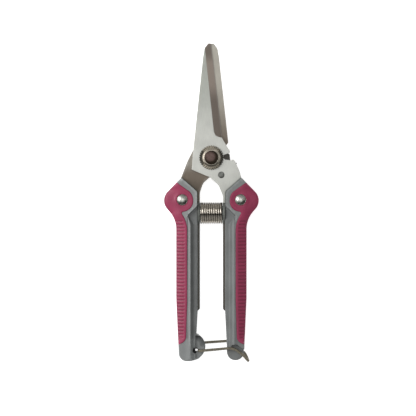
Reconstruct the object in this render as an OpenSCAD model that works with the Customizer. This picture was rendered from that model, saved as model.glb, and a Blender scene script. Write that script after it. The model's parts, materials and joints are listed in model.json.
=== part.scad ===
// Floral snips: two crossed blades on one pivot bolt, riveted into grey handles with soft
// ribbed grips, opened by a coil spring and held shut by a wire catch.
// Millimetres. The snips lie on their back on z = 0 with the blades towards +Y.

/* [Blades] */
// Thickness of each stamped blade plate
plate_t = 2.2; // [1.8:0.1:2.4]
// Distance from the pivot to the blade tips
blade_len = 68.8; // [60:0.1:72]
// Width of the ground cutting bevel
bevel_w = 4.6; // [3.5:0.1:5]
// Gap between the two plates, filled by the spacer washer
plate_gap = 0.2; // [0.1:0.05:0.3]

/* [Pivot] */
// Diameter of the pivot bolt's shank
bolt_d = 8; // [7:0.1:8.4]
// Diameter of the toothed washer
tooth_washer_d = 14.7; // [13:0.1:15]
// Number of teeth round the toothed washer
washer_teeth = 32; // [16:1:36]
// How far the handles swing open, in degrees
open_deg = 26; // [20:1:27]

/* [Handles] */
// Thickness of the handles
handle_t = 15; // [14:0.1:16]
// Width across both handles' heads
head_w = 56.6; // [56:0.1:57]
// Depth of the rounded edge round each handle
edge_r = 2.2; // [1:0.1:3]
// Thickness of the soft grip over the handle's core
grip_t = 1.6; // [1.2:0.1:2]
// Distance between two ribs of the grip
rib_pitch = 2.05; // [1.8:0.05:2.4]
// Diameter of the rivet heads
rivet_head_d = 6.6; // [6:0.1:7]

/* [Spring] */
// Outer diameter of the return spring
spring_d = 12.9; // [12:0.1:13]
// Diameter of the spring wire
spring_wire_d = 1.15; // [1:0.05:1.2]
// Number of turns
spring_turns = 10; // [8:1:10]

/* [Catch] */
// Diameter of the catch wire
catch_wire_d = 1.6; // [1.4:0.1:1.7]
// Half the distance between the catch's front and back legs
catch_half_z = 6.1; // [6:0.1:6.2]

/* [Hidden] */

fine = 64;              // facets of a true circle
corner_steps = 5;       // facets of a rounded outline corner
fit = 0.05;             // radial clearance of a running or assembled fit
mid_z = handle_t / 2;
back_z = mid_z - plate_gap / 2 - plate_t;      // underside of the back blade
front_z = mid_z + plate_gap / 2;               // underside of the front blade

// Heights inside a handle
inner_drop = 2.3;       // step down from the rim to the inner side of a handle
grip_drop = 0.3;        // grip's face below the rim's
core_z = grip_drop + grip_t;

// Places that several parts share, from the pivot
rivet_at = [17.4, -25.3];
spring_y = -33.2;
tang_x = 6.95;          // inner edge of each tang
handle_x = 8.2;         // inner side of each handle
tang_end_y = -92.4;
pin_at = [5.95, -10.3];
pin_r = 1.95;
pin_nose_r = 1.3;
pin_path_r = norm(pin_at);
pin_deg = atan2(pin_at[1], pin_at[0]);
catch_at = [-7.4, -115.6];
crossbar_at = [22.3, -121.9];
ear_at = [11.34, -113.3];
ear_r = 7.7;

// The frame's origin is midway between the tips and the catch's crossbar
end_y = crossbar_at[1] - catch_wire_d / 2;
mid_y = (blade_len + end_y) / 2;

// ---- Outlines ----
// An outline is a list of corners [x, y, radius], anticlockwise.

function unit(v) = v / norm(v);
function left_of(v) = [-v[1], v[0]];
function spun(v, deg) = [v[0] * cos(deg) - v[1] * sin(deg), v[0] * sin(deg) + v[1] * cos(deg)];
function at(c) = [c[0], c[1]];

// A corner as an arc of corner_steps chords
function fillet(a, b, c, r) =
    let (u = unit(b - a), w = unit(c - b), turn = atan2(cross(u, w), u * w))
    r <= 0 || abs(turn) < 0.1 ? [b] :
    let (start = b - u * r * tan(abs(turn) / 2), centre = start + left_of(u) * r * sign(turn))
    [for (k = [0 : corner_steps]) centre + spun(start - centre, turn * k / corner_steps)];

function rounded(corners) =
    let (n = len(corners))
    [for (i = [0 : n - 1])
        each fillet(at(corners[(i + n - 1) % n]), at(corners[i]), at(corners[(i + 1) % n]), corners[i][2])];

// The same outline moved inwards by d, or outwards where d is negative
function inset(corners, d) =
    let (n = len(corners))
    [for (i = [0 : n - 1])
        let (a = at(corners[(i + n - 1) % n]), b = at(corners[i]), c = at(corners[(i + 1) % n]),
             u = left_of(unit(b - a)), w = left_of(unit(c - b)),
             moved = b + d * (u + w) / (1 + u * w),
             r = corners[i][2])
        [moved[0], moved[1], r <= 0 ? 0 : max(0.05, r - d * sign(cross(b - a, c - b)))]];

module slab(corners, z0, z1) {
    translate([0, 0, z0])
        linear_extrude(z1 - z0) polygon(rounded(corners));
}

// A plate whose top and bottom edges are chamfered by edge
module pillow(corners, z0, z1, edge) {
    rings = [[z0, edge], [z0 + edge * 0.3, edge * 0.3], [z0 + edge, 0],
             [z1 - edge, 0], [z1 - edge * 0.3, edge * 0.3], [z1, edge]];
    layers = [for (ring = rings) [for (p = rounded(inset(corners, ring[1]))) [p[0], p[1], ring[0]]]];
    n = len(layers[0]);
    last = len(rings) - 1;
    polyhedron(
        points = [for (layer = layers) each layer],
        faces = concat(
            [[for (i = [0 : n - 1]) i]],
            [[for (i = [0 : n - 1]) last * n + n - 1 - i]],
            [for (k = [0 : last - 1], i = [0 : n - 1])
                [k * n + i, (k + 1) * n + i, (k + 1) * n + (i + 1) % n, k * n + (i + 1) % n]]),
        convexity = 8);
}

// Blade with its tang, seen from the front with the spine on the left
function plate_corners(shoulder) = concat(
    [[-1.1, blade_len, 0.3],
     [-3.9, 65.7, 1.2],
     [-4.9, 60.2, 30],
     [-12.15, -7.2, 0.8],
     [-0.9, -12.75, 1.5],
     [4.6, -15.6, 10],
     [tang_x, -21.5, 7],
     [tang_x, -90.8, 0.5],
     [tang_x + 1.6, tang_end_y, 0.5],
     [13, tang_end_y, 1.5],
     [13, -38, 8],
     [22.6, -29.5, 4],
     [22.6, -21, 4],
     [18.4, -13.5, 1]],
    shoulder,
    [[8.8, 7.6, 6],
     [6.45, 11.6, 1.5],
     [-0.1, 67.3, 1],
     [-0.3, blade_len, 0.3]]);

// The front blade's shoulder carries the wire notch; the back blade's slopes straight in
front_corners = plate_corners([[16.9, -7.8, 16], [13.4, -0.4, 2.4], [11.2, -1.6, 0.6], [11.1, 4.3, 1.5]]);
back_corners = plate_corners([[16.9, -8.6, 14], [11, 3, 8]]);
// Outside of a handle, right-hand side; its inner side lies beyond the raised area's
envelope_corners = [
    [10, -3.6, 0],
    [2, -3.6, 0],
    [2, -121.9, 0],
    [19.4, -121.9, 5],
    [21.05, -84, 0],
    [21.05, -36.9, 16],
    [head_w / 2 + 2.7, -25.4, 7.5]
];
// Area on the inner side of a handle that the rim stays clear of, from the head downwards
clear_corners = [
    [24.6, -6.3, 0],
    [24.6, 2, 0],
    [-6, 2, 0],
    [-6, -124, 0],
    [12.6, -124, 0],
    [12.6, -40, 10],
    [14.3, -34.5, 0.4],
    [8.6, -28.9, 2.2],
    [8.6, -20.3, 1.5]
];
// Lower inner side of a handle, between the rim and the tang
inner_corners = [
    [handle_x, -27.5, 0.5],
    [handle_x, -91.2, 0.5],
    [9.35, -112, 20],
    [9.35, -117, 1],
    [14, -117, 1],
    [14, -27.5, 0.5]
];
// Area that the soft grip covers, wider than the handle on the outer side
grip_corners = [
    [24, -14, 0],
    [10.9, -22.2, 6.7],
    [10.9, -31.7, 6.2],
    [18.3, -32.5, 0.6],
    [14.45, -38.9, 16],
    [14.45, -86, 40],
    [15.1, -105, 4],
    [23, -113.4, 0],
    [34, -113.4, 0],
    [34, -14, 0]
];

// ---- Shared shapes ----

// A corner of a bent wire as a short curve that leaves the corner r away on each side
function bend(a, b, c, r) =
    let (start = b - unit(b - a) * r, end = b + unit(c - b) * r)
    [for (k = [0 : corner_steps])
        let (t = k / corner_steps)
        start * (1 - t) * (1 - t) + b * 2 * t * (1 - t) + end * t * t];

function wire_path(corners) =
    let (last = len(corners) - 1, place = [for (c = corners) [c[0], c[1], c[2]]])
    [place[0],
     for (i = [1 : last - 1]) each bend(place[i - 1], place[i], place[i + 1], corners[i][3]),
     place[last]];

// A tube of radius r along a path, its rings turned as little as possible
module tube(path, r, sides, first_normal) {
    last = len(path) - 1;
    along = [for (i = [0 : last]) unit(path[min(i + 1, last)] - path[max(i - 1, 0)])];
    rings = [for (i = 0, n = first_normal; i <= last;
                  i = i + 1, n = i > last ? n : unit(n - along[i] * (n * along[i])))
        let (m = unit(n - along[i] * (n * along[i])), side = cross(along[i], m))
        [for (k = [0 : sides - 1])
            let (a = k * 360 / sides)
            path[i] + r * (m * cos(a) + side * sin(a))]];
    polyhedron(
        points = [for (ring = rings) each ring],
        faces = concat(
            [[for (k = [0 : sides - 1]) k]],
            [[for (k = [0 : sides - 1]) last * sides + sides - 1 - k]],
            [for (i = [0 : last - 1], k = [0 : sides - 1])
                [i * sides + k, (i + 1) * sides + k,
                 (i + 1) * sides + (k + 1) % sides, i * sides + (k + 1) % sides]]),
        convexity = 10);
}

module hole(place, r, z0, z1) {
    translate([place[0], place[1], z0]) cylinder(h = z1 - z0, r = r, $fn = fine);
}

module ring(place, r, inner_r, z0, z1) {
    difference() {
        hole(place, r, z0, z1);
        hole(place, inner_r, z0 - 1, z1 + 1);
    }
}

// ---- Blades ----

// Half space above the bevel of the cutting edge
module bevel_cut() {
    foot = [6.45, 11.6];
    tip = [-0.1, 67.3];
    along = atan2(tip[1] - foot[1], tip[0] - foot[0]);
    slope = atan(plate_t * 0.93 / bevel_w);
    translate([foot[0], foot[1], plate_t * 0.07])
        rotate([0, 0, along])
            translate([1.5, 0, 0])
                rotate([slope, 0, 0])
                    translate([0, -1, 0]) cube([70, 12, 8]);
}

module blade_plate(corners) {
    difference() {
        slab(corners, 0, plate_t);
        bevel_cut();
        hole([0, 0], bolt_d / 2 + fit, -1, plate_t + 1);
        hole(rivet_at, 1.65, -1, plate_t + 1);
    }
}

// Notch for cutting wire, open to the right
module wire_notch() {
    translate([0, 0, -1])
        linear_extrude(plate_t + 2)
            polygon([[12.5, 3.9], [7.7, 1.9], [7.1, 0.9], [7.3, -0.3], [8.2, -1.2], [12.5, -1.5]]);
}

module front_blade() {
    color("lightgray")
        translate([0, -mid_y, front_z])
            difference() {
                blade_plate(front_corners);
                wire_notch();
                hole(pin_at, pin_r, -1, plate_t + 1);
            }
}

// Curved slot that the stop pin runs in: two long arcs joined by a half circle at each end
module pin_slot() {
    r = pin_nose_r + 0.15;
    steps = 16;
    end_deg = pin_deg + open_deg;
    outer = [for (k = [0 : steps]) spun([pin_path_r + r, 0], pin_deg + open_deg * k / steps)];
    far_cap = [for (k = [1 : steps - 1])
        spun([pin_path_r, 0], end_deg) + spun([r, 0], end_deg + 180 * k / steps)];
    inner = [for (k = [0 : steps]) spun([pin_path_r - r, 0], end_deg - open_deg * k / steps)];
    near_cap = [for (k = [1 : steps - 1])
        spun([pin_path_r, 0], pin_deg) + spun([r, 0], pin_deg + 180 + 180 * k / steps)];
    translate([0, 0, -1])
        linear_extrude(plate_t + 2) polygon(concat(outer, far_cap, inner, near_cap));
}

// Round shoulder that holds the slot, hidden by the front blade while the snips are shut
module stop_shoulder() {
    intersection() {
        cylinder(h = plate_t, r = 15.6, $fn = 96);
        rotate([0, 0, -73]) translate([7, 0, 0]) cube([9, 12.2, plate_t]);
    }
}

module back_blade() {
    color("dimgray")
        translate([0, -mid_y, back_z])
            difference() {
                union() {
                    translate([0, 0, plate_t]) mirror([0, 0, 1]) mirror([1, 0, 0]) blade_plate(back_corners);
                    stop_shoulder();
                }
                pin_slot();
                hole([0, 0], bolt_d / 2 + fit, -1, plate_t + 1);
                hole([13, 5.9], 4.3, -1, plate_t + 1);
            }
}

module stop_pin() {
    color("slategray")
        translate([0, -mid_y, 0]) {
            hole(pin_at, pin_r, front_z, front_z + plate_t);
            hole(pin_at, pin_nose_r, back_z + 0.2, front_z);
        }
}

// ---- Pivot ----

bolt_head_t = 2.2;
washer_t = 0.9;
nut_t = 2;
washer_z = front_z + plate_t + fit;

module pivot_bolt() {
    color("darkslategray")
        translate([0, -mid_y, 0]) {
            hole([0, 0], bolt_d / 2, back_z, washer_z + washer_t + nut_t);
            translate([0, 0, washer_z + washer_t + nut_t])
                intersection() {
                    translate([0, 0, 0.6 - 13.6]) sphere(r = 13.6, $fn = 96);
                    cylinder(h = 2, r = bolt_d / 2, $fn = fine);
                }
            translate([0, 0, back_z - bolt_head_t])
                rotate_extrude($fn = fine)
                    polygon([[0, 0], [5.4, 0], [6.5, 1.1], [6.5, bolt_head_t], [0, bolt_head_t]]);
        }
}

module pivot_nut() {
    color("silver")
        translate([0, -mid_y, washer_z + washer_t])
            rotate_extrude($fn = fine)
                polygon([[bolt_d / 2 + 0.02, 0], [5.4, 0], [5.4, 0.9], [4.5, nut_t], [bolt_d / 2 + 0.02, nut_t]]);
}

module toothed_washer() {
    color("gray")
        translate([0, -mid_y, washer_z])
            linear_extrude(washer_t)
                difference() {
                    circle(d = tooth_washer_d, $fn = 96);
                    circle(r = bolt_d / 2 + fit, $fn = fine);
                    for (k = [0 : washer_teeth - 1])
                        rotate(k * 360 / washer_teeth)
                            translate([tooth_washer_d / 2, 0])
                                polygon([[0.3, -0.5], [0.3, 0.5], [-0.45, 0.05], [-0.45, -0.05]]);
                }
}

module spacer_washer() {
    color("goldenrod")
        translate([0, -mid_y, 0]) ring([0, 0], 6.4, bolt_d / 2 + fit, mid_z - plate_gap / 2, mid_z + plate_gap / 2);
}

// ---- Spring ----

seat_t = 1.4;
spring_end_x = 6.75;

// One ring of the spring's wire at a given turn
function coil_ring(turn, sides) =
    let (mean_r = (spring_d - spring_wire_d) / 2,
         r = spring_wire_d / 2,
         reach = spring_end_x - r - 0.02,
         x = -reach + 2 * reach * turn / spring_turns,
         deg = turn * 360)
    [for (k = [0 : sides - 1])
        let (a = k * 360 / sides, out = mean_r + r * cos(a))
        [x + r * sin(a), spring_y + out * cos(deg), mid_z + out * sin(deg)]];

module return_spring() {
    sides = 6;
    steps = spring_turns * 14;
    color("tan")
        translate([0, -mid_y, 0])
            polyhedron(
                points = [for (i = [0 : steps]) each coil_ring(i * spring_turns / steps, sides)],
                faces = concat(
                    [[for (k = [0 : sides - 1]) k]],
                    [[for (k = [0 : sides - 1]) steps * sides + sides - 1 - k]],
                    [for (i = [0 : steps - 1], k = [0 : sides - 1])
                        [i * sides + k, (i + 1) * sides + k,
                         (i + 1) * sides + (k + 1) % sides, i * sides + (k + 1) % sides]]),
                convexity = 10);
}

// Moulded cup on the edge of a tang, with a stud inside the spring
module spring_seat(slot_z) {
    difference() {
        translate([handle_x, spring_y, mid_z])
            rotate([0, -90, 0]) {
                cylinder(h = handle_x - spring_end_x, d = spring_d + 0.4, $fn = fine);
                cylinder(h = handle_x - spring_end_x + 2.6, r = 4.3, $fn = fine);
            }
        translate([tang_x - fit, spring_y - 10, slot_z - fit]) cube([5, 20, plate_t + 2 * fit]);
    }
}

module left_spring_seat() {
    color("black") translate([0, -mid_y, 0]) mirror([1, 0, 0]) spring_seat(back_z);
}

module right_spring_seat() {
    color("black") translate([0, -mid_y, 0]) spring_seat(front_z);
}

// ---- Handles and grips ----

// Outside of a handle with chamfered edges and flat faces at z0 and z1
module envelope(z0, z1) {
    past = 0.3;
    intersection() {
        pillow(envelope_corners, z0 - past, z1 + past, edge_r);
        translate([-10, -130, z0]) cube([60, 140, z1 - z0]);
    }
}

module handle_core() {
    slab(inset(envelope_corners, grip_t), core_z, handle_t - core_z);
}

module grip_area(z0, z1) {
    slab(grip_corners, z0, z1);
}

module inner_side(z0, z1) {
    slab(clear_corners, z0, z1);
}

// Room for a tang, open to the inner side
module tang_slot(slot_z) {
    slab(inset(front_corners, -fit), slot_z - fit, slot_z + plate_t + fit);
    translate([0, -91, slot_z - fit]) cube([9, 60, plate_t + 2 * fit]);
}

// Grey moulding without its end details, right-hand side
module handle_blank(slot_z) {
    difference() {
        union() {
            difference() {
                envelope(0, handle_t);
                grip_area(-1, handle_t + 1);
                inner_side(-1, handle_t + 1);
            }
            difference() {
                handle_core();
                inner_side(-1, handle_t + 1);
            }
            slab(inner_corners, inner_drop, handle_t - inner_drop);
        }
        tang_slot(slot_z);
        hole(rivet_at, 1.65, -1, handle_t + 1);
    }
}

// Soft cover with ribs across its outer side, right-hand side
module grip_blank() {
    difference() {
        intersection() {
            grip_area(-1, handle_t + 1);
            envelope(grip_drop, handle_t - grip_drop);
        }
        handle_core();
        hole(rivet_at, rivet_head_d / 2 + 0.1, -1, handle_t + 1);
        for (y = [-40 : -rib_pitch : -106])
            translate([20.6, y, mid_z]) cube([0.5, 0.7, 9], center = true);
    }
}

// Thinned zones where the catch's legs pass over the right handle's end
front_recess = [[6, -130, 0], [32, -130, 0], [32, -118.2, 0], [6, -108.1, 0]];
back_recess = [[6, -130, 0], [32, -130, 0], [32, -120.2, 0], [6, -105.1, 0]];
recess_t = 3.75;     // from the middle to a thinned face

// Rounded end of the right handle, thin enough for the catch's legs to pass
end_corners = [[9.3, -109, 0], [9.3, -121.5, 5.1], [19.6, -121.5, 5], [19.2, -109, 0]];

module right_handle() {
    color("slategray")
        translate([0, -mid_y, 0])
            union() {
                difference() {
                    handle_blank(front_z);
                    slab(front_recess, mid_z + recess_t, handle_t + 1);
                    slab(back_recess, -1, mid_z - recess_t);
                    translate([6, -124, -1]) cube([16, 9.5, handle_t + 2]);
                }
                slab(end_corners, mid_z - recess_t, mid_z + recess_t);
            }
}

ear_t = 3.7;    // from the middle to an ear face

module left_handle() {
    color("slategray")
        translate([0, -mid_y, 0])
            mirror([1, 0, 0])
                difference() {
                    union() {
                        handle_blank(back_z);
                        hole(ear_at, ear_r, mid_z - ear_t, mid_z + ear_t);
                    }
                    // clear the ear's faces for the legs of the catch
                    translate([0, -123, mid_z + ear_t]) cube([10.9, 16.4, 10]);
                    translate([0, -123, mid_z - ear_t - 10]) cube([10.9, 16.4, 10]);
                    hull() {
                        hole([-catch_at[0], catch_at[1]], 1.55, -1, handle_t + 1);
                        hole([-catch_at[0] + 2.1, catch_at[1]], 1.55, -1, handle_t + 1);
                    }
                }
}

module left_grip() {
    color("mediumvioletred") translate([0, -mid_y, 0]) mirror([1, 0, 0]) grip_blank();
}

module right_grip() {
    color("mediumvioletred") translate([0, -mid_y, 0]) grip_blank();
}

// ---- Rivets ----

rivet_z = handle_t - core_z;        // face that the front washer sits on
washer_cup_t = 0.7;

// Domed rivet from the front, right-hand side
module rivet() {
    hole(rivet_at, 1.1, core_z + 2, rivet_z + washer_cup_t);
    translate([rivet_at[0], rivet_at[1], rivet_z + washer_cup_t])
        intersection() {
            translate([0, 0, 1.2 - 3.75]) sphere(r = 3.75, $fn = fine);
            cylinder(h = 2, r = 2.75, $fn = fine);
        }
}

// Tubular post from the back, with a flat head
module rivet_post() {
    ring(rivet_at, 1.6, 1.1, core_z, rivet_z);
    translate([rivet_at[0], rivet_at[1], core_z - 1])
        cylinder(h = 1, r = rivet_head_d / 2, $fn = fine);
}

module rivet_washer() {
    ring(rivet_at, rivet_head_d / 2, 1.65, rivet_z, rivet_z + washer_cup_t);
}

module left_rivet() {
    color("gainsboro") translate([0, -mid_y, 0]) mirror([1, 0, 0]) rivet();
}

module right_rivet() {
    color("gainsboro") translate([0, -mid_y, 0]) rivet();
}

module left_rivet_post() {
    color("gainsboro") translate([0, -mid_y, 0]) mirror([1, 0, 0]) rivet_post();
}

module right_rivet_post() {
    color("gainsboro") translate([0, -mid_y, 0]) rivet_post();
}

module left_rivet_washer() {
    color("silver") translate([0, -mid_y, 0]) mirror([1, 0, 0]) rivet_washer();
}

module right_rivet_washer() {
    color("silver") translate([0, -mid_y, 0]) rivet_washer();
}

// ---- Catch ----

// Corners [x, y, bend] of each leg between the ear and the crossbar
front_leg = [[13.3, -113.9, 3.4], [19.5, -118.8, 1.5]];
back_leg = [[19.4, -116.2, 1.5], [10.8, -110.05, 2], [-2.6, -110.6, 1.6]];

module catch_wire() {
    r = catch_wire_d / 2;
    front = mid_z + catch_half_z;
    back = mid_z - catch_half_z;
    stub = 2;       // how far each end of the wire stays from the middle of the ear
    corners = concat(
        [[catch_at[0], catch_at[1], mid_z + stub], [catch_at[0], catch_at[1], front, 1.2]],
        [for (c = front_leg) [c[0], c[1], front, c[2]]],
        [[crossbar_at[0], crossbar_at[1], front, 1.3], [crossbar_at[0], crossbar_at[1], back, 1.3]],
        [for (c = back_leg) [c[0], c[1], back, c[2]]],
        [[catch_at[0], catch_at[1], back, 1.2], [catch_at[0], catch_at[1], mid_z - stub]]);
    color("rosybrown")
        translate([0, -mid_y, 0])
            union() {
                tube(wire_path(corners), r, 10, [1, 0, 0]);
                hole(catch_at, r * 0.93, mid_z - stub - 0.6, mid_z + stub + 0.6);
            }
}

back_blade();
front_blade();
pivot_bolt();
pivot_nut();
toothed_washer();
spacer_washer();
stop_pin();
return_spring();
left_spring_seat();
right_spring_seat();
left_handle();
right_handle();
left_grip();
right_grip();
left_rivet();
right_rivet();
left_rivet_post();
right_rivet_post();
left_rivet_washer();
right_rivet_washer();
catch_wire();
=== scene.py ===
"""Floral snips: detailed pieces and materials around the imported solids.

Shapes are worked out in millimetres from the blade pivot, +X right, +Y to the tips, and placed in metres.
"""
import json
import math

import bpy
import numpy as np
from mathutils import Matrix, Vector, geometry


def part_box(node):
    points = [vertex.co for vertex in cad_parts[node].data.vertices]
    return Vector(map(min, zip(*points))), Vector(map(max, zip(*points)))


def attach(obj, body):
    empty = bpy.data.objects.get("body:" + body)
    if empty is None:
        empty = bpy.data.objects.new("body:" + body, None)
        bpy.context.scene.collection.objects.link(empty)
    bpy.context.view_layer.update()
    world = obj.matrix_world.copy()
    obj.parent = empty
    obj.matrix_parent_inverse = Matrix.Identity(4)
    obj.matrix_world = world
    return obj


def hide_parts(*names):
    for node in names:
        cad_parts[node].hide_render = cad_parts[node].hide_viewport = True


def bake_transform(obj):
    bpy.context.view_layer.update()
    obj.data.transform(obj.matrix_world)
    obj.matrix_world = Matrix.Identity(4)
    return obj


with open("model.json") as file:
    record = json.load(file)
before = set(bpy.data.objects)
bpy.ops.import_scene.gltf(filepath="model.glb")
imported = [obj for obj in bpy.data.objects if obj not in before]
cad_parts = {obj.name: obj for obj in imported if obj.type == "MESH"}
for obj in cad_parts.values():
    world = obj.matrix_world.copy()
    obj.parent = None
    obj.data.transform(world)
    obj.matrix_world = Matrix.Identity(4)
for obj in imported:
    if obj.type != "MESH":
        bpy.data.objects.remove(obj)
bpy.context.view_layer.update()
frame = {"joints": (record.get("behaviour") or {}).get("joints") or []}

MM = 0.001
JOINTS = {j["name"]: j for j in frame["joints"]}
PIVOT_Y = JOINTS["blade_pivot"]["pos_m"][1] / MM
MID_Z = JOINTS["blade_pivot"]["pos_m"][2] / MM
CATCH_AT = [c / MM for c in JOINTS["catch_swing"]["pos_m"][:2]]
CATCH_AT[1] -= PIVOT_Y


def span(node, axis):
    """Lowest and highest place of a CAD node along one axis, in millimetres from the pivot."""
    low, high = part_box(node)
    shift = PIVOT_Y if axis == 1 else 0
    return low[axis] / MM - shift, high[axis] / MM - shift


# ---- Sizes ----

TOP_Z = span("left_handle", 2)[1]
FRONT_PLATE = span("front_blade", 2)
BACK_PLATE = span("back_blade", 2)
TIP_Y = span("front_blade", 1)[1]
GRIP_Z = span("left_grip", 2)[1]
LEDGE_Z = TOP_Z - 2.3           # inner side of a handle
EAR_Z = MID_Z + 3.7             # face of the left handle's ear
END_Z = MID_Z + 3.75            # face of the right handle's rounded end
EDGE_R = 2.2                    # rounding round the outside of a handle
TANG_X = 6.95                   # a tang's inner edge
HANDLE_X = 8.2                  # a handle's inner face
RIVET_X, RIVET_Y = 17.4, -25.3
SPRING_Y = -33.2
PIN_X, PIN_Y = 5.95, -10.3
EAR_X, EAR_Y, EAR_R = 11.34, -113.3, 7.7
CROSSBAR = (22.0, -121.5)
RIB_PITCH = 2.05
RIBS_FROM, RIBS_TO = -36.0, -108.5
PLATE_T = 2.2                   # a blade's thickness
BORE_R = 4.05                   # hole round the bolt, in blades and washers
RIVET_HOLE_R = 1.65
PIN_HEAD_R = 1.95
WIRE_R = 0.8                    # catch wire
COIL_WIRE_R = 0.57              # return spring wire


# ---- Flat outlines: corners [x, y, radius], anticlockwise ----

def legs(corners):
    """Each corner, its radius, and the directions of the lines into it and out of it."""
    places = [np.array(c[:2], float) for c in corners]
    for i, here in enumerate(places):
        after = places[(i + 1) % len(places)]
        u = (here - places[i - 1]) / np.linalg.norm(here - places[i - 1])
        w = (after - here) / np.linalg.norm(after - here)
        yield here, corners[i][2], u, w


def outline(corners, steps=8):
    """The corners as points, each rounded by an arc."""
    points = []
    for here, r, u, w in legs(corners):
        turn = math.atan2(u[0] * w[1] - u[1] * w[0], float(u @ w))
        if r <= 0 or abs(turn) < 0.01:
            points.append(here)
            continue
        side = np.array([-u[1], u[0]]) * math.copysign(1, turn)
        start = here - u * r * math.tan(abs(turn) / 2)
        centre = start + side * r
        v = start - centre
        for k in range(steps + 1):
            a = turn * k / steps
            points.append(centre + [v[0] * math.cos(a) - v[1] * math.sin(a),
                                    v[0] * math.sin(a) + v[1] * math.cos(a)])
    return np.array(points)


def inset(corners, d):
    """The same corners moved inwards by d."""
    moved = []
    for here, r, u, w in legs(corners):
        left_u, left_w = np.array([-u[1], u[0]]), np.array([-w[1], w[0]])
        place = here + d * (left_u + left_w) / (1 + float(u @ w))
        bend = math.copysign(1, u[0] * w[1] - u[1] * w[0])
        moved.append([place[0], place[1], 0 if r <= 0 else max(0.05, r - d * bend)])
    return moved


def mirrored(points):
    """Points on the other side of the middle line, still anticlockwise."""
    flipped = np.array(points, float)[::-1].copy()
    flipped[:, 0] *= -1
    return flipped


def ring(loop):
    """A loop as a line that ends where it starts."""
    return np.vstack([loop, loop[:1]])


def halves(flip):
    """How loops, and places, of the right half are turned over for the left half."""
    return (mirrored, np.array([-1, 1])) if flip else (np.array, np.array([1, 1]))


def arc(x, y, r, angles):
    return np.column_stack([x + r * np.cos(angles), y + r * np.sin(angles)])


def circle(x, y, r, steps=48):
    return arc(x, y, r, np.linspace(0, 2 * np.pi, steps, endpoint=False))


def dense(points, step):
    """The same line with a point at least every step."""
    found = []
    for a, b in zip(points[:-1], points[1:]):
        n = max(1, math.ceil(np.linalg.norm(b - a) / step))
        found += [a + (b - a) * k / n for k in range(n)]
    return np.array([*found, points[-1]])


def contour(corners, d, step, steps=8):
    """The outline moved inwards by d, as a dense line that ends where it starts."""
    return dense(ring(outline(inset(corners, d), steps)), step)


def inside(places, loop):
    """Which places lie inside a closed loop."""
    x, y = places[:, 0][:, None], places[:, 1][:, None]
    ax, ay = loop[:, 0], loop[:, 1]
    bx, by = np.roll(ax, -1), np.roll(ay, -1)
    rise = np.where(by == ay, 1e-12, by - ay)
    crosses = (ay > y) != (by > y)
    return (crosses & (x < ax + (bx - ax) * (y - ay) / rise)).sum(1) % 2 == 1


def away(places, line, closed=True):
    """How far each place is from a line."""
    a = line if closed else line[:-1]
    b = np.roll(line, -1, axis=0) if closed else line[1:]
    best = np.full(len(places), 1e9)
    for p, q in zip(a, b):
        d = q - p
        t = np.clip(((places - p) @ d) / max(float(d @ d), 1e-12), 0, 1)
        best = np.minimum(best, np.linalg.norm(places - p - t[:, None] * d, axis=1))
    return best


def depth(places, loop):
    """Distance from a loop, positive inside it and negative outside."""
    return away(places, loop) * np.where(inside(places, loop), 1, -1)


def rounding(d, r):
    """How far a quarter-round edge of radius r has dropped, at distance d from the edge."""
    d = np.clip(d, 0, r)
    return r - np.sqrt(np.maximum(r * r - (r - d) ** 2, 0))


def smooth(t):
    """Eases from 0 to 1."""
    t = np.clip(t, 0, 1)
    return t * t * (3 - 2 * t)


# ---- Mesh makers ----

def add_object(name, data):
    obj = bpy.data.objects.new(name, data)
    bpy.context.scene.collection.objects.link(obj)
    return obj


def to_object(name, points_mm, faces, sharp_deg):
    """A mesh object from points in millimetres from the pivot."""
    places = np.array(points_mm, float)
    places[:, 1] += PIVOT_Y
    places *= MM
    mesh = bpy.data.meshes.new(name)
    mesh.from_pydata([tuple(p) for p in places], [], [tuple(int(i) for i in f) for f in faces])
    mesh.validate()
    mesh.shade_smooth()
    mesh.set_sharp_from_angle(angle=math.radians(sharp_deg))
    return add_object(name, mesh)


def grid(x0, x1, y0, y1, dx, dy):
    """Places that fill a rectangle, every other row shifted."""
    gx, gy = np.meshgrid(np.arange(x0, x1, dx), np.arange(y0, y1, dy))
    gx[1::2] += dx / 2
    return np.column_stack([gx.ravel(), gy.ravel()])


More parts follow.
